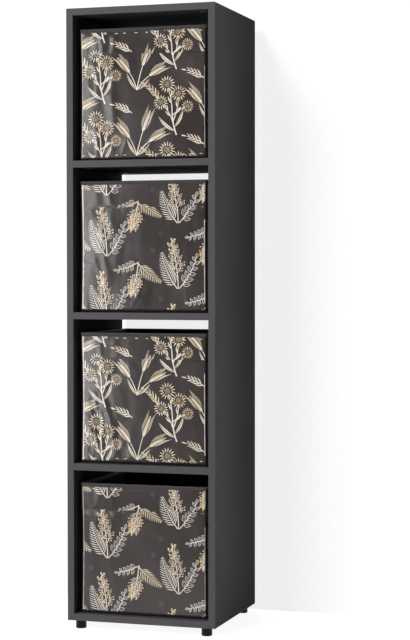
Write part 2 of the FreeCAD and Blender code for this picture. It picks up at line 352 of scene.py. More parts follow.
def leaf_halves(width, steps):
    """Half the drawn width of a pointed leaf at each step, most a little before its middle."""
    shares = (math.sin(math.pi * (index / steps) ** 0.85) for index in range(steps + 1))
    return [line_weight * width / 2 * share for share in shares]


def leaf(x, y, heading, length, width, bend, ink, steps=5):
    """A pointed leaf along a bending rib."""
    line = stem_line(x, y, heading, length, bend, steps)
    places = list(zip(line, leaf_halves(width, steps)))[1:-1]
    right = [beside(*stop, -half) for stop, half in places]
    left = [beside(*stop, half) for stop, half in reversed(places)]
    return [((line[0][:2], *right, line[-1][:2], *left), ink)]


def split_leaf(x, y, heading, length, width, bend, ink):
    """A long leaf in two halves, with the ground showing along its rib."""
    line = stem_line(x, y, heading, length, bend, split_steps)
    places = list(zip(line, leaf_halves(width, split_steps)))
    made = []
    for side in (-1, 1):
        rib = [beside(*stop, side * min(rib_gap, half)) for stop, half in places]
        rim = [beside(*stop, side * half) for stop, half in places]
        outline = rib[:-1] + rim[:0:-1]
        made.append((tuple(outline[::side]), ink if side > 0 else cream))
    return made


def dot(x, y, radius, ink, corners=7):
    """A small round dot."""
    return [(tuple(ahead_of(x, y, 2 * math.pi * k / corners, radius) for k in range(corners)), ink)]


def drawn_leaf(x, y, heading, length, width, ink):
    """A round leaf drawn as an outline with its rib."""
    shape = leaf(x, y, heading, length, width, 0, ink, drawn_steps)[0][0]
    middle_x = sum(p[0] for p in shape) / len(shape)
    middle_y = sum(p[1] for p in shape) / len(shape)
    inner = []
    for px, py in shape:
        reach = math.hypot(px - middle_x, py - middle_y)
        pull = min(drawn_width / max(reach, drawn_width), 0.6)
        inner.append((px + (middle_x - px) * pull, py + (middle_y - py) * pull))
    made = [((shape[k - 1], shape[k], inner[k], inner[k - 1]), ink) for k in range(len(shape))]
    rib = stem_line(x, y, heading, length * 0.8, 0, 3)
    return made + stroke(rib, drawn_width * 0.9, drawn_width * 0.5, ink)


def put(shapes, x, y, turn=0.0, size=1.0, flip=1):
    """Shapes drawn upright at the origin, put somewhere else, turned, scaled and mirrored."""
    c, s = math.cos(turn) * size, math.sin(turn) * size
    made = []
    for outline, ink in shapes:
        moved = [(x + c * px * flip - s * py, y + s * px * flip + c * py) for px, py in outline]
        made.append((tuple(moved if flip > 0 else reversed(moved)), ink))
    return made


def grass_ear(heading, length, bend, ear, ink):
    """A bending stalk that ends in two rows of grains, each with a long awn."""
    line = stem_line(0, 0, heading, length, bend, 12)
    made = stroke(line, 0.0027, 0.0017, cream)
    spine = stem_line(*line[-1], ear, bend * 0.5, 9)
    made += stroke(spine, 0.0013, 0.0008, straw)
    for index, (px, py, way) in enumerate(spine[:-1]):
        size = 0.0098 - 0.0035 * index / len(spine)
        for side in (-1, 1):
            splay = way + side * 0.55
            made += leaf(px, py, splay, size, size * 0.30, -side * 0.4, ink if side > 0 else cream)
            tip = ahead_of(px, py, splay, size)
            awn = stem_line(*tip, way + side * 0.42, 0.018, -side * 0.3, 3)
            made += stroke(awn, 0.0009, 0.0005, straw)
    return made + leaf(*spine[-1], 0.010, 0.0036, 0, ink)


def daisy(x, y, radius, turn, ink):
    """An open flower of narrow petals round a dotted middle."""
    made = []
    for k in range(petal_count):
        way = turn + 2 * math.pi * k / petal_count
        start, shade = ahead_of(x, y, way, radius, eye_share), ink if k % 3 else cream
        made += leaf(*start, way, radius * (1 - eye_share), radius * 0.145, 0, shade)
    for ring, count in ((0.0, 1), (0.15, 6), (0.29, 11)):
        for k in range(count):
            way = 2 * math.pi * k / count + ring
            made += dot(*ahead_of(x, y, way, ring, radius), radius * 0.052, gold, 6)
    return made


def daisy_stalk(x, y, heading, length, bend, radius, ink, leaves):
    """A stalk with small leaves and an open flower at its end."""
    line = stem_line(x, y, heading, length, bend, 12)
    made = stroke(line, 0.0024, 0.0015, cream)
    for index, side, size in leaves:
        lx, ly, way = line[index]
        made += leaf(lx, ly, way + side * 0.6, size, size * 0.23, -side * 0.5, straw, 6)
    way = line[-1][2]
    return made + daisy(*ahead_of(*line[-1], radius, eye_share), radius, way, ink)


def daisy_bush():
    """A forked stem with four open flowers and long leaves, drawn upright."""
    main = stem_line(0, 0, upright + 0.25, 0.046, -0.35, 12)
    made = stroke(main, 0.0032, 0.0024, cream)
    for index, turn, *stalk in (
        (5, 0.0, 0.046, 0.55, 0.0150, straw, ((5, 1, 0.015), (8, -1, 0.013))),
        (7, -0.62, 0.048, 0.45, 0.0160, gold, ((4, -1, 0.017), (7, 1, 0.014))),
        (12, 0.0, 0.046, 0.30, 0.0170, straw, ((4, 1, 0.016), (7, -1, 0.015))),
        (10, -0.95, 0.030, -0.35, 0.0125, gold, ((5, 1, 0.011),)),
    ):
        x, y, heading = main[index]
        made += daisy_stalk(x, y, heading + turn, *stalk)
    for index, turn, *blade in ((2, 0.85, 0.046, 0.0070, -0.6, straw),
                                (4, -1.05, 0.042, 0.0066, 0.7, gold)):
        x, y, heading = main[index]
        made += split_leaf(x, y, heading + turn, *blade)
    return made


def grass_bunch():
    """Three ears that spread from one tuft, with two long blades."""
    made = grass_ear(upright + 0.40, 0.042, 0.35, 0.036, gold)
    made += grass_ear(upright - 0.02, 0.054, -0.15, 0.040, straw)
    made += grass_ear(upright - 0.40, 0.042, -0.40, 0.034, gold)
    made += split_leaf(0, 0, upright + 0.95, 0.046, 0.0062, -0.5, straw)
    made += split_leaf(0, 0, upright - 0.95, 0.042, 0.0058, 0.5, gold)
    return made


def leafy_twig(length, bend, pairs, size, ink):
    """A bending twig with narrow leaves on alternate sides, drawn upright."""
    line = stem_line(0, 0, upright, length, bend, 2 * pairs + 2)
    made = stroke(line, 0.0025, 0.0012, cream)
    for index in range(1, 2 * pairs + 1):
        px, py, way = line[index]
        side = 1 if index % 2 else -1
        long = size * (1 - 0.35 * index / (2 * pairs))
        shade = ink if index % 3 else cream
        made += leaf(px, py, way + side * 0.72, long, long * 0.20, -side * 0.45, shade, 6)
    return made + leaf(*line[-1], size * 0.7, size * 0.18, 0, ink)


def fern(length, bend, pairs, size, ink):
    """A frond with a row of narrow leaflets on each side, shorter towards its tip."""
    line = stem_line(0, 0, upright, length, bend, pairs + 2)
    made = stroke(line, 0.0026, 0.0011, ink)
    for index in range(2, pairs + 2):
        px, py, way = line[index]
        share = (index - 2) / pairs
        long = size * (1 - share) ** 0.8 * (0.72 + 0.28 * min(share * 5, 1)) + 0.003
        for side in (-1, 1):
            made += leaf(px, py, way + side * 1.05, long, 0.0024 - 0.0007 * share, -side * 0.4, ink)
    return made


def berry_plume(length, bend, seed, ink):
    """A plume of side twigs, each forking into stalks with a berry at the end, drawn upright."""
    chance = random.Random(seed)
    line = stem_line(0, 0, upright, length, bend, 12)
    made = stroke(line, 0.0027, 0.0012, cream)
    for index in range(3, 13):
        px, py, way = line[index]
        side = 1 if index % 2 else -1
        long = 0.030 * (1.12 - 0.075 * index)
        twig = stem_line(px, py, way + side * chance.uniform(0.7, 0.9), long, -side * 0.6, 4)
        made += stroke(twig, 0.0012, 0.0009, cream)
        for fork in range(1, 5):
            fx, fy, turn = twig[fork]
            for lean in (-1, 1):
                way_out = turn + lean * chance.uniform(0.6, 1.0)
                stalk = stem_line(fx, fy, way_out, chance.uniform(0.0045, 0.0075), 0, 1)
                made += stroke(stalk, 0.0009, 0.0007, straw)
                berry = chance.uniform(0.0012, 0.0017)
                made += dot(*stalk[-1][:2], berry, ink if chance.random() < 0.75 else cream)
    return made


def round_leaf_sprig(length, bend, pairs, size, ink):
    """A sprig whose round leaves are drawn as outlines, drawn upright."""
    line = stem_line(0, 0, upright, length, bend, 2 * pairs + 2)
    made = stroke(line, 0.0023, 0.0013, ink)
    for index in range(2, 2 * pairs + 2):
        px, py, way = line[index]
        side = 1 if index % 2 else -1
        long = size * (1 - 0.4 * index / (2 * pairs + 2))
        made += drawn_leaf(px, py, way + side * 0.95, long, long * 0.66, ink)
    return made + drawn_leaf(*line[-1], size * 0.6, size * 0.42, ink)


def small_star(x, y, radius, turn):
    """A faint little star of six petals between the plants."""
    made = []
    for k in range(6):
        way = turn + 2 * math.pi * k / 6
        start = ahead_of(x, y, way, radius, 0.2)
        made += leaf(*start, way, radius * 0.8, radius * 0.3, 0, faint, 4)
    return made


def meadow_repeat():
    """One repeat of the cloth with daisies, grasses and twigs."""
    made = put(daisy_bush(), 0.050, 0.000, 0.12, 1.20)
    made += put(grass_bunch(), 0.128, 0.030, -0.16, 1.05)
    made += put(leafy_twig(0.046, 0.4, 4, 0.020, straw), 0.116, 0.128, 0.95)
    made += put(leafy_twig(0.050, -0.7, 4, 0.020, gold), 0.006, 0.080, 0.35, 1.0, -1)
    return made


def fernery_repeat():
    """One repeat of the cloth with ferns, berried plumes and round-leaved sprigs."""
    made = put(fern(0.094, -0.6, 14, 0.026, cream), 0.052, 0.000, 0.72)
    made += put(berry_plume(0.100, 0.25, 3, gold), 0.054, 0.000, 0.02, 1.05)
    made += put(round_leaf_sprig(0.082, 0.5, 5, 0.020, cream), 0.056, 0.000, -0.78)
    made += put(berry_plume(0.064, -0.20, 8, gold), 0.131, 0.132, 3.02, 1.05)
    made += put(fern(0.074, 0.45, 12, 0.021, straw), 0.130, 0.134, -2.45)
    made += put(round_leaf_sprig(0.056, -0.4, 4, 0.0165, cream), 0.132, 0.136, 2.10)
    made += small_star(0.012, 0.126, 0.0075, 0.2) + small_star(0.094, 0.110, 0.006, 0.5)
    made += small_star(0.166, 0.012, 0.0070, 0.1)
    return made


def painted_edge_highlight(half_widths, height, side, low_share, high_share, width, seed):
    """A thin uneven strip of cream ink along a panel's side: a painted highlight at the print's
    edge.
    """
    chance = random.Random(seed)
    steps = len(half_widths) - 1
    line = [(side * (wide - width * chance.uniform(0.8, 1.2)), side * (wide + under_tape),
             k / steps * height) for k, wide in enumerate(half_widths)]
    made = []
    for (inner_a, outer_a, ya), (inner_b, outer_b, yb) in zip(line, line[1:]):
        if low_share <= ya / height < high_share:
            piece = ((inner_a, ya), (outer_a, ya), (outer_b, yb), (inner_b, yb))
            made.append((piece[::side], cream))
    return made


def pale_tacks(half_width, level, seed):
    """Short pale stitches that show in a loose row along a seam, at one height of a panel."""
    chance = random.Random(seed)
    made = []
    x = tack_margin - half_width
    while x < half_width - 2 * tack_margin:
        long, rise = chance.uniform(0.0040, 0.0085), chance.uniform(-0.0006, 0.0006)
        y = level + chance.uniform(-0.0006, 0.0006)
        end_x, end_y = x + long, y + rise
        tack = ((x, y), (end_x, end_y), (end_x, end_y + tack_width), (x, y + tack_width))
        made.append((tack, cream))
        x += chance.uniform(0.018, 0.032)
    return made


def printed_shapes(repeat, half_width, height, shift):
    """The shapes of a print that fall on a panel, in half-drop repeats."""
    shapes = []
    for column in repeats_round:
        for row in repeats_round:
            over = column * repeat_width - half_width + shift[0]
            up = row * repeat_height + (repeat_height / 2 if column % 2 else 0) + shift[1]
            for outline, ink in repeat:
                moved = [(x + over, y + up) for x, y in outline]
                if any(-half_width < x < half_width and 0 < y < height for x, y in moved):
                    shapes.append((moved, ink))
    return shapes


# Printed cover: each box is sewn from four printed panels of coated polyester cloth, each with a
# turned cuff of the same cloth under the rim, where the print starts anew, and a plain floor. The
# panels are a little slack over the stiff boards, so they puff at the seams and crease.
cloth_inset = 0.0010
cloth_thickness = 0.0008
corner_radius = 0.0077
wall_draw = 0.0015
base_tape_height = 0.0070
rim_height = 0.0090
corner_tape_width = 0.0055
cuff_height = 0.0605
cuff_fold = 0.0004
under_rim = 0.001
cloth_step = 0.0045
back_columns = 40
back_step = 0.027
facet_width = 0.0180
seam_width = 0.0045
seam_fade = 0.0140
seam_reach = 0.012
facet_sway = 0.25
fold_bow = 0.15
puff_height = 0.00085
puff_pitches = (13, 9)
dent_height = 0.00032
dent_pitches = (42, 26)
pucker_height = 0.00014
tack_gap = 0.0042
hair = 2e-6
weld = 1e-6
back_weld = 1e-7
panel_sharp = 55
cloth_colour = (0.0575, 0.0475, 0.0450)
ink_colours = ((0.0, (0.10, 0.10, 0.10)), (0.25, (0.135, 0.128, 0.13)), (0.5, (0.97, 0.90, 0.82)),
               (0.75, (0.94, 0.80, 0.59)), (1.0, (0.84, 0.62, 0.35)))

# Each wall's way out and its way across. Each kind of fold: how many, whether at the seams, and the
# ranges of its places across and up, its tilt, length, width and height.
walls = {"front": ((0, -1), (1, 0)), "right": ((1, 0), (0, 1)),
         "back": ((0, 1), (-1, 0)), "left": ((-1, 0), (0, -1))}
fold_kinds = (
    (11, False, (-0.42, -0.84), (0.25, 0.95),
     (-0.40, 0.15), (0.030, 0.070), (0.0060, 0.0120), (0.0003, 0.0008)),
    (6, False, (0.70, 0.93), (0.15, 0.85),
     (-0.20, 0.25), (0.020, 0.050), (0.0040, 0.0070), (0.0002, 0.0004)),
    (10, True, (-0.60, 0.60), (0.10, 0.92),
     (-0.90, 0.90), (0.015, 0.035), (0.0040, 0.0080), (0.0002, 0.0004)),
)


class Room:
    """Where one storage box stands: its middle, its half sizes, its floor and its height."""

    def __init__(self, name):
        rim_low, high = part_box(f"{name}_rim_binding")
        self.middle = ((rim_low.x + high.x) / 2, (rim_low.y + high.y) / 2)
        self.half = ((high.x - rim_low.x) / 2, (high.y - rim_low.y) / 2)
        self.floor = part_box(f"{name}_seam_tapes")[0].z
        self.height = high.z - self.floor


def drawn_in(height, full):
    """How far the walls draw in at a height: nothing along rim and base, most between them."""
    share = np.clip((height - base_tape_height) / (full - rim_height - base_tape_height), 0, 1)
    return wall_draw * np.sin(math.pi * share)


def on_wall(room, wall, across, height, inset):
    """Places so far across a wall and up it, round the corners too, at a depth inside the box."""
    (nx, ny), (tx, ty) = walls[wall]
    reach, wide = room.half if nx else reversed(room.half)
    draw = drawn_in(height, room.height)
    flat = wide - corner_radius - draw
    radius = corner_radius - inset
    turn = np.clip((np.abs(across) - flat) / corner_radius, 0, math.pi / 4)
    sideways = np.sign(across) * (np.minimum(np.abs(across), flat) + radius * np.sin(turn))
    outward = reach - draw - corner_radius + radius * np.cos(turn)
    x = room.middle[0] + nx * outward + tx * sideways
    y = room.middle[1] + ny * outward + ty * sideways
    return np.stack([x, y, room.floor + height], axis=1)


def smooth_step(value):
    """From 0 to 1 without a kink at either end."""
    value = np.clip(value, 0, 1)
    return value * value * (3 - 2 * value)


def noise_over(across, height, pitches, depth):
    """Smooth noise over a panel, with so many waves per metre across it and up it."""
    wide, tall = pitches
    spots = zip(across * wide, height * tall)
    return np.array([noise.noise(Vector((s, h, depth))) for s, h in spots])


def cloth_lift(across, height, half, seams, full, seed, slack):
    """How far the cloth stands off its board between two seams: lean, belly, folds and puckers."""
    chance = random.Random(seed)
    lean, belly, loose = slack
    low, tall = seams[0], seams[1] - seams[0]
    from_side = half - drawn_in(height, full) - np.abs(across)
    from_low, from_high = height - low, seams[1] - height
    waves = noise_over(across, height, puff_pitches, seed * 1.7)
    small = noise_over(across, height, dent_pitches, seed * 3.1)
    facet = from_side / (facet_width * (1 + facet_sway * waves))
    ends = smooth_step(from_low / seam_width) * smooth_step(from_high / seam_fade)
    inside = smooth_step(facet) * ends
    lift = lean * facet_width * np.clip(facet, 0, 1) * ends
    calm = smooth_step((from_side - facet_width / 2) / facet_width) * ends
    lift += loose * calm * (puff_height * waves + dent_height * small)
    rise = np.sin(math.pi * np.clip(height / full, 0, 1)) ** 0.7
    lift += belly * np.clip(1 - (across / half) ** 2, 0, 1) * rise
    for count, at_seams, sides, levels, *ranges in fold_kinds:
        for _ in range(count):
            s = half * chance.uniform(*sides)
            h = low + (chance.choice(levels) if at_seams else chance.uniform(*levels)) * tall
            tilt, long, wide, high = [chance.uniform(*ends_of) for ends_of in ranges]
            along = (height - h) * math.cos(tilt) + (across - s) * math.sin(tilt)
            aside = (across - s) * math.cos(tilt) - (height - h) * math.sin(tilt)
            aside = aside + fold_bow * along * along / long
            ridge = loose * inside * high * np.exp(-(aside / wide) ** 2)
            lift += ridge * np.exp(-(along / long) ** 4)
    ripple = 0
    for run, pitch, away in ((across, 0.013, np.minimum(from_low, from_high)),
                             (height, 0.014, from_side)):
        turn = 2 * math.pi * run / pitch + 3 * waves
        ripple = ripple + np.sin(turn) * np.exp(-away / seam_reach)
    return lift + loose * pucker_height * smooth_step(from_side / seam_width) * ends * ripple


def put_on_ends(values, low, high):
    """Values a hair away from either end are put on it, so that a panel's edges are straight."""
    return np.where(values < low + hair, low, np.where(values > high - hair, high, values))


def printed_sheet(half, height, shapes):
    """A panel cut into triangles along the outlines of its print, with the ink of each triangle."""
    points = [(-half, 0), (half, 0), (half, height), (-half, height)]
    outlines, inks = [[0, 1, 2, 3]], [no_ink]
    for outline, ink in shapes:
        outlines.append(list(range(len(points), len(points) + len(outline))))
        points += outline
        inks.append(ink)
    rows, columns = round(height / cloth_step), round(2 * half / cloth_step)
    for row in range(1, rows):
        for column in range(columns):
            ahead = column + (0.75 if row % 2 else 0.25)
            points.append((-half + 2 * half * ahead / columns, height * row / rows))
    for row in range(1, rows):
        points += [(-half, height * row / rows), (half, height * row / rows)]
    found = delaunay_2d_cdt([Vector(p) for p in points], [], outlines, 1, weld, True)
    places, triangles, owners = found[0], found[2], found[5]
    kept = [index for index, owner in enumerate(owners) if 0 in owner]
    across = put_on_ends(np.array([p.x for p in places]), -half, half)
    up = put_on_ends(np.array([p.y for p in places]), 0.0, height)
    shades = [inks[max(owners[index])] for index in kept]
    used = sorted({corner for index in kept for corner in triangles[index]})
    number = {old: new for new, old in enumerate(used)}
    triangles = [tuple(number[corner] for corner in triangles[index]) for index in kept]
    return across[used], up[used], triangles, shades


def border_of(across, up, triangles):
    """The points round a panel's edge in order, along the sides that only one triangle has."""
    sides = {side for a, b, c in triangles for side in ((a, b), (b, c), (c, a))}
    ahead = {a: b for a, b in sides if (b, a) not in sides}
    border = [min(ahead, key=lambda corner: across[corner] + up[corner])]
    while ahead[border[-1]] != border[0]:
        border.append(ahead[border[-1]])
    return border


def panel_piece(name, room, wall, sheet, half, low, high, seams, seed, slack, proud):
    """A closed thin piece: the printed face of a panel over a plain back that lies on the board."""
    across, up, triangles, shades = sheet
    flat = half - corner_radius * math.pi / 4 + corner_radius - corner_tape_width
    lift = cloth_lift(across, low + up, flat, seams, room.height, seed, slack)
    lift += proud * smooth_step((seams[1] - low - up) / seam_width)
    front = on_wall(room, wall, across, low + up, cloth_inset - np.maximum(lift, 0))
    border = border_of(across, up, triangles)
    ring = [Vector((across[i], up[i])) for i in border]
    levels = np.linspace(0, high - low, 2 + round((high - low) / back_step))[1:-1]
    columns = np.linspace(-half, half, back_columns + 1)[1:-1]
    spots = [Vector((s, h)) for s in columns for h in levels]
    found = delaunay_2d_cdt(ring + spots, [], [list(range(len(ring)))], 1, back_weld, True)
    back_across, back_up = (np.array(values) for values in zip(*found[0]))
    back = on_wall(room, wall, back_across, low + back_up, cloth_inset + cloth_thickness)
    start = len(front)
    behind = {old: start + new for new, olds in enumerate(found[3]) for old in olds}
    faces = list(triangles)
    faces += [tuple(start + corner for corner in reversed(triangle)) for triangle in found[2]]
    for k, corner in enumerate(border):
        faces.append((border[k - 1], behind[(k - 1) % len(border)], behind[k], corner))
    piece = solid(name, np.concatenate([front, back]), faces)
    ink = piece.data.attributes.new("ink", "FLOAT", "FACE")
    ink.data.foreach_set("value", shades + [no_ink] * (len(faces) - len(shades)))
    smooth = [True] * len(triangles) + [False] * (len(faces) - len(triangles))
    piece.data.polygons.foreach_set("use_smooth", smooth)
    return piece


weave, given, result = effect("plain_weave", [("Threads", "Float", 1200.0), ("Slub", "Float", 0.3)],
                              [("Height", "Float"), ("Shade", "Float")])
axes = place(weave, "SeparateXYZ", {0: own_place(weave)}).outputs
slub = speckle(weave, own_place(weave), 60.0, 2.0)
shifted = reckon(weave, "MULTIPLY", slub, given["Slub"])
waves = []
for line in (reckon(weave, "ADD", axes["X"], axes["Y"]), axes["Z"]):
    turn = reckon(weave, "MULTIPLY", reckon(weave, "MULTIPLY", line, given["Threads"]), math.pi)
    waves.append(reckon(weave, "SINE", reckon(weave, "ADD", turn, shifted)))
over = reckon(weave, "GREATER_THAN", reckon(weave, "MULTIPLY", *waves), 0.0)
warp, weft = (reckon(weave, "ABSOLUTE", wave) for wave in waves)
threads = place(weave, "Mix", {0: over, 2: warp, 3: weft})
feed(weave, result["Height"], threads.outputs[0])
feed(weave, result["Shade"], slub)

printed_cloth, tree, shader = finish("printed_coated_cloth", cloth_colour, Specular_IOR_Level=0.42)
woven = use(tree, weave, Threads=1500.0, Slub=2.0)
ink = place(tree, "Attribute", attribute_name="ink").outputs["Fac"]
drift = reckon(tree, "SUBTRACT", speckle(tree, own_place(tree), 16.0, 2.0), 0.5)
foil = reckon(tree, "ADD", ink, reckon(tree, "MULTIPLY", drift, 0.55))
inked = reckon(tree, "GREATER_THAN", ink, 0.1)
bold = reckon(tree, "GREATER_THAN", ink, 0.4)
tone = place(tree, "Mix", {0: bold, 2: ink, 3: reckon(tree, "MAXIMUM", foil, 0.5)})
ramp = place(tree, "ValToRGB", {0: tone.outputs[0]})
stops = ramp.color_ramp.elements
while len(stops) < len(ink_colours):
    stops.new(0.5)
for stop, (position, colour) in zip(stops, ink_colours):
    stop.position = position
    stop.color = (*colour, 1)
patchy = speckle(tree, own_place(tree), 9.0, 4.0)
ground = scaled(tree, cloth_colour, spread(tree, patchy, 0.82, 1.20))
skin = place(tree, "Mix", {"Factor": inked, 6: ground, 7: ramp.outputs["Color"]}, data_type="RGBA")
feed(tree, shader["Base Color"], skin.outputs[2])
feed(tree, shader["Roughness"], spread(tree, patchy, 0.15, 0.23))
raise_surface(tree, shader, woven["Height"], 0.000008)


def patterned(name, colour, group, takes, shade, tones, depth, **plain):
    """A material with a pattern's relief, and one of its outputs as shades between two shares."""
    material, tree, shader = finish(name, colour, **plain)
    pattern = use(tree, group, **takes)
    feed(tree, shader["Base Color"], scaled(tree, colour, spread(tree, pattern[shade], *tones)))
    raise_surface(tree, shader, pattern["Height"], depth)
    return material


plain_cloth = patterned("plain_coated_cloth", cloth_colour, weave, {"Threads": 1500.0, "Slub": 2.0},
                        "Shade", (0.8, 1.1), 0.00010, Roughness=0.6)


def round_path(room, inset, straight, bend_steps=8):
    """Points round a box, with the way out at each, so far inside its outer face at the rim."""
    radius = corner_radius - inset
    quarters = ((1, 1), (-1, 1), (-1, -1), (1, -1))

    def bend_point(quarter, way):
        """The point of a corner's bend that lies in one direction."""
        signs = quarters[quarter % 4]
        return tuple(middle + sign * (half - corner_radius) + radius * out
                     for middle, sign, half, out in zip(room.middle, signs, room.half, way))

    points = []
    for quarter in range(4):
        for step in range(bend_steps + 1):
            angle = math.pi / 2 * (quarter + step / bend_steps)
            way = (math.cos(angle), math.sin(angle))
            points.append((*bend_point(quarter, way), way))
        x, y, way = points[-1]
        goal_x, goal_y = bend_point(quarter + 1, way)
        for step in range(1, straight):
            t = step / straight
            points.append((x + (goal_x - x) * t, y + (goal_y - y) * t, way))
    return points


# Each box's cloth, how much the sides of its panels lean, how far they belly and how loose they
# hang, and the width of the painted highlight along the print's side edges. Then how far the print
# is shifted on each pair of walls.
repeats = {"meadow": meadow_repeat(), "fernery": fernery_repeat()}
make_up = {
    "box_1": ("meadow", (0.018, 0.0008, 0.9), 0.0017),
    "box_2": ("fernery", (0.033, 0.0010, 0.9), 0.0034),
    "box_3": ("meadow", (0.014, 0.0022, 1.0), 0.0034),
    "box_4": ("fernery", (0.022, 0.0004, 0.8), 0.0014),
}
front_shift, side_shift, cuff_shift = (0.012, -0.020), (0.070, 0.030), 0.047
cuff_lean, cuff_loose = 0.012, 0.35
# The painted highlight runs up the right edge of the lower panels between these shares of their
# height.
right_highlight_span = (0.1, 0.85)
tack_levels = {"printed": base_tape_height + tack_gap, "cuff": cuff_height - rim_height - tack_gap}
highlight_steps = 40
sheets = {}
for number, name in enumerate(box_names):
    room = Room(name)
    cloth, (lean, belly, loose), highlight_width = make_up[name]
    cuff_line = room.height - cuff_height
    panels = (
        ("printed", 0.0, cuff_line, (base_tape_height, cuff_line), (lean, belly, loose), 0.0),
        ("cuff", cuff_line, room.height - under_rim, (cuff_line, room.height - rim_height),
         (cuff_lean, belly, cuff_loose), cuff_fold),
    )
    for wall_number, (wall, (normal, _)) in enumerate(walls.items()):
        wide = room.half[1] if normal[0] else room.half[0]
        half = wide - corner_radius + corner_radius * math.pi / 4
        for part_number, (part, low, high, seams, slack, proud) in enumerate(panels):
            key = (name, round(half, 5), part)
            if key not in sheets:
                over, up = side_shift if normal[0] else front_shift
                shift = (over, up + part_number * cuff_shift)
                shapes = printed_shapes(repeats[cloth], half, high - low, shift)
                # Painted highlight: a strip of cream ink along the left edge of each panel, and
                # along part of the right edge of the lower ones, where light catches the cloth's
                # edge.
                levels = np.linspace(low, high, highlight_steps)
                seen = wide - corner_tape_width - drawn_in(levels, room.height)
                shapes += painted_edge_highlight(seen, high - low, -1, 0.0, 1.0, highlight_width, 1)
                if part == "printed":
                    shapes += painted_edge_highlight(seen, high - low, 1, *right_highlight_span, highlight_width / 2, 2)
                if cloth == "meadow":
                    shapes += pale_tacks(half, tack_levels[part], 3)
                sheets[key] = printed_sheet(half, high - low, shapes)
            seed = 1 + 4 * number + wall_number + 40 * part_number
            panel = panel_piece(f"{name}_{part}_{wall}", room, wall, sheets[key],
                                half, low, high, seams, seed, slack, proud)
            belong(panel, printed_cloth, name, f"{name}_printed_cover",
                   panel_sharp)
    outer = round_path(room, cloth_inset + 0.0002, 2)
    points = []
    for z, less in ((0.0, 0.0006), (0.0002, 0.0), (cloth_thickness, 0.0)):
        points += [(x - way[0] * less, y - way[1] * less, room.floor + z) for x, y, way in outer]
    sole = solid(f"{name}_cloth_floor", points, capped(3, len(outer)), False)
    belong(sole, plain_cloth, name, f"{name}_printed_cover")


# Lining: black non-woven cloth with a dimpled surface, sewn inside the boards as one open tub.
# It hangs a little slack, so its walls wave gently towards the inside.
lining_inset = 0.0046
lining_thickness = 0.0006
lining_floor = 0.0010
lining_slack = 0.0011
slack_pitches = ((14, 9), (55, 16))
crease_share = 0.35
lining_columns = 44
outside_rows = 9
inside_rows = 46
sharp_angle = 50
dimples, given, result = effect("dimpled_cloth", [("Pitch", "Float", 420.0)],
                                [("Height", "Float"), ("Shade", "Float")])
spot = own_place(dimples)
cells = place(dimples, "TexVoronoi", {"Vector": spot, "Scale": given["Pitch"], "Randomness": 0.35})
fibres = speckle(dimples, spot, 1400.0, 3.0)
pit = place(dimples, "MapRange", {0: cells.outputs["Distance"], 1: 0.10, 2: 0.42, 3: 0.0, 4: 1.0},
            interpolation_type="SMOOTHSTEP").outputs[0]
fuzz = reckon(dimples, "MULTIPLY", fibres, 0.4)
feed(dimples, result["Height"], reckon(dimples, "ADD", pit, fuzz))
feed(dimples, result["Shade"], fibres)
lining_cloth = patterned("black_non_woven", (0.014, 0.014, 0.015), dimples, {"Pitch": 420.0},
                         "Shade", (0.7, 1.3), 0.0002, Roughness=0.85, Specular_IOR_Level=0.2)


def skin_row(room, path, height, more, seed=None):
    """One level of a tub's skin, drawn in with the walls, and slack inwards if it has a seed."""
    draw = drawn_in(height, room.height)
    row = []
    for x, y, way in path:
        inward = more + draw
        if seed is not None:
            wave, crease = (noise.noise(Vector((x * wide, y * wide, height * tall + shift)))
                            for (wide, tall), shift in zip(slack_pitches, (seed, -seed)))
            hold = math.sin(math.pi * min(max(height / room.height, 0), 1)) ** 0.5
            inward += lining_slack * hold * max(0.0, 0.5 + wave + crease_share * crease)
        row.append((x - way[0] * inward, y - way[1] * inward, room.floor + height))
    return row


for number, name in enumerate(box_names):
    room = Room(name)
    top = room.height - under_rim
    outer = round_path(room, lining_inset, lining_columns)
    inner_floor = lining_floor + lining_thickness
    rows = [skin_row(room, outer, height, 0)
            for height in np.linspace(lining_floor, top, outside_rows)]
    rows += [skin_row(room, outer, height, lining_thickness, 7 * number + 3)
             for height in np.linspace(top, inner_floor, inside_rows)]
    points = [point for row in rows for point in row]
    tub = solid(f"{name}_lining_tub", points, capped(len(rows), len(outer)))
    belong(tub, lining_cloth, name, f"{name}_lining", sharp_angle)
    long, wide = (2 * (half - lining_inset) for half in room.half)


# Tapes: black woven tape is sewn round the base and up the four corners of each box, over the
# seams of the cover. It is stiffer than the cloth and keeps the corners square.
tape_thickness = 0.0008
tape_ripple = 0.00012
tape_edge = 0.0004
steps_up = 60
steps_round = 14
loop_steps = 60
outer_part = 0.003
black_tape_colour = (0.010, 0.0095, 0.010)
tape_start = math.asin(1 - corner_tape_width / corner_radius)


def woven_tape(name, colour, **plain):
    """Woven tape whose threads show as fine relief and a slight change of tone."""
    return patterned(name, colour, weave, {"Threads": 900.0, "Slub": 0.5},
                     "Height", (0.75, 1.15, 0.0, 1.0), 0.00018, **plain)


tape_cloth = woven_tape("black_woven_tape", black_tape_colour, Roughness=0.7,
                        Specular_IOR_Level=0.15)


def loop_piece(name, room, profile, straight, ripple, seed):
    """A closed outline of (depth inside, height) carried round a box, with a slight ripple."""
    path = round_path(room, 0.0, straight)
    points = []
    for x, y, way in path:
        wave = noise.noise(Vector((x * 60, y * 60, seed)))
        for inset, height in profile:
            inward = inset - ripple * wave * (1 if inset < outer_part else -1)
            points.append((x - way[0] * inward, y - way[1] * inward, room.floor + height))
    return solid(name, points, rings_joined(len(path), len(profile), True))


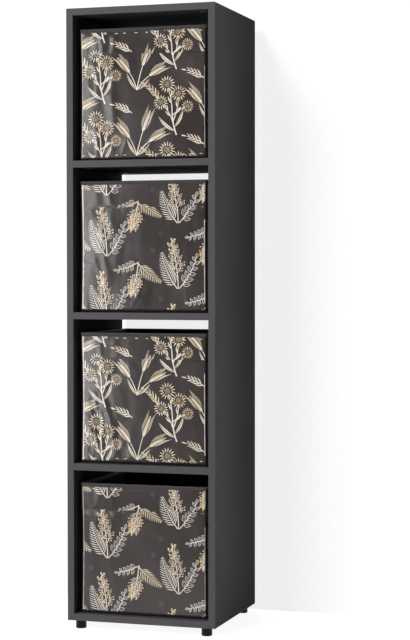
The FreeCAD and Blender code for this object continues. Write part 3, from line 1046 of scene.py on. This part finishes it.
corners = {"back_right": (1, 1), "back_left": (-1, 1),
           "front_left": (-1, -1), "front_right": (1, -1)}
tape_turn = math.pi / 2 - 2 * tape_start
angles = [tape_start + tape_turn * k / steps_round for k in range(steps_round + 1)]
base_profile = [(tape_thickness, 0.0), (0.0003, 0.0002), (0.0, 0.0010), (-0.0001, 0.0035),
                (0.0, base_tape_height - 0.0006), (0.0003, base_tape_height - 0.0001),
                (0.0007, base_tape_height), (tape_thickness, base_tape_height - 0.0006)]
for number, name in enumerate(box_names):
    room = Room(name)
    hoop = loop_piece(f"{name}_base_tape", room, base_profile, loop_steps, tape_ripple,
                      5.0 + number)
    belong(hoop, tape_cloth, name, f"{name}_seam_tapes", sharp_angle)
    start, tall = base_tape_height - 0.0005, room.height - rim_height - base_tape_height + 0.0015
    for corner, (sx, sy) in corners.items():
        points = []
        for height in (start + tall * step / steps_up for step in range(steps_up + 1)):
            inward = drawn_in(height, room.height) + corner_radius
            centre_x = room.middle[0] + sx * (room.half[0] - inward)
            centre_y = room.middle[1] + sy * (room.half[1] - inward)
            wave = tape_ripple * noise.noise(Vector((sx * 3.0, sy * 5.0 + number, height * 40)))
            outer = [(angle, corner_radius + wave) for angle in angles]
            for end in (0, -1):
                outer[end] = (angles[end], corner_radius + wave - tape_edge)
            inner = [(angle, corner_radius - tape_thickness) for angle in reversed(angles)]
            points += [(centre_x + sx * radius * math.cos(angle),
                        centre_y + sy * radius * math.sin(angle), room.floor + height)
                       for angle, radius in outer + inner]
        faces = capped(steps_up + 1, 2 * len(angles))
        if sx * sy < 0:
            faces = [tuple(reversed(face)) for face in faces]
        strip = solid(f"{name}_corner_tape_{corner}", points, faces)
        belong(strip, tape_cloth, name, f"{name}_seam_tapes", sharp_angle)


# Rim binding: charcoal tape, folded over the top of the walls and sewn through them, so that it
# covers the raw edges of cover, boards and lining. The fold stands out as a soft roll.
binding_inner = 0.0062
fold_radius = 0.0030
roll_height = 0.0050
flange_depth = 0.0006
binding_ripple = 0.00018
binding_steps = 70
binding_colour = (0.062, 0.058, 0.060)
binding_cloth = woven_tape("charcoal_woven_tape", binding_colour, Roughness=0.5,
                           Specular_IOR_Level=0.35)
for number, name in enumerate(box_names):
    room = Room(name)
    high = room.height
    start = high - rim_height
    roll = high - roll_height
    face, back = flange_depth, binding_inner - 0.0004
    outside = [(0.0012, start), (face + 0.0001, start + 0.0002), (face, start + 0.0008),
               (face, roll - 0.0006), (face - 0.0001, roll - 0.0002), (0.0002, roll + 0.0004),
               (0.0, roll + 0.0012)]
    outside += rounded((0.0, high - fold_radius), (0.0, high), (fold_radius, high), 7)
    outside += rounded((binding_inner - fold_radius, high), (binding_inner, high),
                       (binding_inner, high - fold_radius), 7)
    outside += [(binding_inner, roll + 0.0004), (back, roll - 0.0004), (back, start + 0.0008),
                (back - 0.0001, start + 0.0002), (back - 0.0008, start)]
    inside = [(back - tape_thickness, start + 0.0006), (back - tape_thickness, high - 0.0018),
              (back - 0.0016, high - tape_thickness), (0.0020, high - tape_thickness),
              (face + tape_thickness, high - 0.0018), (face + tape_thickness, start + 0.0006)]
    binding = loop_piece(f"{name}_rim_tape", room, outside + inside, binding_steps, binding_ripple,
                         11.0 + number)
    belong(binding, binding_cloth, name, f"{name}_rim_binding", sharp_angle)


# Stitching: a straight lockstitch in dark grey thread holds the tapes, one row along the rim inside
# and out, one round the base and one up each edge of the corner tapes.
stitch_pitch = 0.0046
stitch_length = 0.0032
stitch_sides = 5
stitch_rings = ((-0.5, 0.35, -0.00017), (-0.3, 1.0, 0.00005),
                (0.3, 1.0, 0.00005), (0.5, 0.35, -0.00017))
stitch_faces = capped(len(stitch_rings), stitch_sides)
row_inset = 0.0018
row_sink = 0.0001
corner_row_inset = 0.0012
corner_row_end = 0.002
corner_row_levels = 13
thread_radius = 0.00028
thread = pearled("dark_thread", (0.06, 0.058, 0.06), 0.6, 3000, 0.00005, (0.5, 0.7))


def add_row(places, faces, points, ways):
    """Adds small rounded bars of thread along a line of points, lying on the tape."""
    for start, end, way in zip(points, points[1:], ways):
        along = end - start
        direction = along.normalized()
        aside = direction.cross(way).normalized()
        count = max(1, round(along.length / stitch_pitch))
        for k in range(count):
            middle = start + along * ((k + 0.5) / count)
            first = len(places)
            for shift, width, up in stitch_rings:
                spot = middle + direction * (shift * stitch_length) + way * up
                for side in range(stitch_sides):
                    angle = 2 * math.pi * side / stitch_sides
                    out = aside * math.cos(angle) + way * math.sin(angle)
                    places.append(spot + out * (thread_radius * width))
            faces.extend(tuple(first + corner for corner in face) for face in stitch_faces)


for name in box_names:
    room = Room(name)
    places, faces = [], []
    rim_row = room.height - rim_height + row_inset
    for inset, height, sign in ((row_sink, rim_row, 1), (binding_inner - row_sink, rim_row, -1),
                                (0.0, base_tape_height - row_inset, 1)):
        path = round_path(room, inset, 1, 2)
        line = [Vector((x, y, room.floor + height)) for x, y, _ in path]
        ways = []
        for (_, _, way), (_, _, after) in zip(path, path[1:] + path[:1]):
            ways.append(Vector((way[0] + after[0], way[1] + after[1], 0)).normalized() * sign)
        add_row(places, faces, line + line[:1], ways)
    levels = np.linspace(base_tape_height + corner_row_end,
                         room.height - rim_height - corner_row_end, corner_row_levels)
    for wall, ((nx, ny), (tx, ty)) in walls.items():
        wide = room.half[1] if nx else room.half[0]
        for side in (-1, 1):
            lean = tape_start + corner_row_inset / corner_radius
            drawn = drawn_in(levels, room.height)
            across = side * (wide - corner_radius - drawn + corner_radius * lean)
            line = [Vector(point) for point in on_wall(room, wall, across, levels, 0.0)]
            way = Vector((nx, ny, 0)) * math.cos(lean) + Vector((tx, ty, 0)) * side * math.sin(lean)
            add_row(places, faces, line, [way] * len(line))
    seam = solid(f"{name}_stitching", places, faces)
    belong(seam, thread, name, None)


# Studio: a pale floor and a pale wall behind, both white to the camera where they are lit, with
# the soft shadow of the unit. The wall shows only from the front and takes no part in the light.
wall_gap = 0.030
room_size = 40.0
white_reach = 0.7
white_fade = 0.6
air_strength = 0.035
camera_place = (1.37765, -4.03123, 0.83512)
camera_turn = (88.412, 0.043, 17.530)


def seen_share(tree, where):
    """How much of the stage's white shows: all to the camera, a given share in reflections."""
    path = place(tree, "LightPath").outputs
    mirrored = reckon(tree, "MAXIMUM", path["Is Glossy Ray"], path["Is Transmission Ray"])
    return reckon(tree, "MAXIMUM", path["Is Camera Ray"], reckon(tree, "MULTIPLY", mirrored, where))


def pale_stage(name, corners, shade, lit, seen_from_front_only):
    """A flat backdrop that looks white where it is lit and keeps the shadow that falls on it."""
    plane = solid(name, corners, [(0, 1, 2, 3)], False)
    material = bpy.data.materials.new(name)
    material.use_nodes = True
    tree = material.node_tree
    tree.nodes.clear()
    spot = place(tree, "SeparateXYZ", {0: own_place(tree)}).outputs
    near = spread(tree, spot["Y"], 0.0, 1.0, -white_reach - white_fade, -white_reach)
    seen = seen_share(tree, near)
    diffuse = place(tree, "BsdfDiffuse", {"Color": (*shade, 1)})
    glow = place(tree, "Emission", {"Color": (*lit, 1), "Strength": seen})
    both = place(tree, "AddShader", {0: diffuse.outputs[0], 1: glow.outputs[0]})
    surface = both.outputs[0]
    if seen_from_front_only:
        back = place(tree, "NewGeometry").outputs["Backfacing"]
        shown = reckon(tree, "MULTIPLY", seen, reckon(tree, "SUBTRACT", 1.0, back))
        clear = place(tree, "BsdfTransparent")
        surface = place(tree, "MixShader", {0: shown, 1: clear.outputs[0], 2: surface}).outputs[0]
    output = place(tree, "OutputMaterial", {"Surface": surface})
    output.is_active_output = True
    plane.data.materials.append(material)
    plane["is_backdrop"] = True


wall_y = cad_high.y + wall_gap
floor_corners = [(x * room_size, y * room_size, 0)
                 for x, y in ((-1, -1), (1, -1), (1, 1), (-1, 1))]
wall_corners = [(x * room_size, wall_y, z * room_size)
                for x, z in ((-1, 0), (1, 0), (1, 1), (-1, 1))]
pale_stage("pale_floor", floor_corners, shade=(0.35, 0.35, 0.355), lit=(0.92, 0.92, 0.92),
           seen_from_front_only=False)
pale_stage("pale_wall", wall_corners, shade=(0.30, 0.30, 0.305), lit=(0.83, 0.83, 0.83),
           seen_from_front_only=True)

world = bpy.data.worlds.new("studio_air")
bpy.context.scene.world = world
world.use_nodes = True
tree = world.node_tree
tree.nodes.clear()
heading = place(tree, "TexCoord").outputs["Generated"]
depth = place(tree, "SeparateXYZ", {0: heading}).outputs["Y"]
seen = seen_share(tree, reckon(tree, "GREATER_THAN", depth, 0.0))
air = place(tree, "Background", {"Color": (1, 1, 1, 1), "Strength": air_strength})
white = place(tree, "Background", {"Color": (1, 1, 1, 1), "Strength": 1.0})
sky = place(tree, "MixShader", {0: seen, 1: air.outputs[0], 2: white.outputs[0]})
place(tree, "OutputWorld", {"Surface": sky.outputs[0]})


def soft_box(name, at, aim, width, height, power, opening=180):
    """A rectangular studio lamp that faces its aim and isn't seen itself."""
    lamp = bpy.data.lights.new(name, "AREA")
    lamp.shape = "RECTANGLE"
    lamp.size = width
    lamp.size_y = height
    lamp.energy = power
    lamp.spread = math.radians(opening)
    stand = bpy.data.objects.new(name, lamp)
    stand.location = at
    stand.rotation_euler = (Vector(aim) - Vector(at)).to_track_quat("-Z", "Y").to_euler()
    stand.visible_camera = False
    bpy.context.scene.collection.objects.link(stand)


soft_box("key_soft_box", (-4.0, -10.5, 9.1), (0.0, 0.0, 0.7), width=4.0, height=4.0, power=1290.0)
soft_box("left_strip", (-1.2, -2.24, 0.9), (0.0, -0.1, 0.7), width=0.16, height=1.8, power=16.5)
soft_box("side_strip", (0.46, -0.15, 0.75), (0.0, -0.15, 0.75), width=0.02, height=1.8, power=0.62,
         opening=120)
soft_box("top_soft_box", (0.0, -0.3, 3.0), (0.0, 0.0, 1.4), width=1.5, height=1.5, power=4.0)
soft_box("rear_soft_box", (-1.1, 3.4, 3.6), (0.0, 0.0, 0.7), width=1.4, height=1.4, power=55.0)

camera_data = bpy.data.cameras.new("front_camera")
camera_data.sensor_width = 36.0
camera_data.lens = 100.70
camera_data.clip_start = 0.05
camera_data.clip_end = 200.0
camera = bpy.data.objects.new("front_camera", camera_data)
camera.location = camera_place
camera.rotation_euler = [math.radians(angle) for angle in camera_turn]
bpy.context.scene.collection.objects.link(camera)
bpy.context.scene.camera = camera
bpy.context.scene.view_settings.view_transform = "Standard"

low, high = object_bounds()
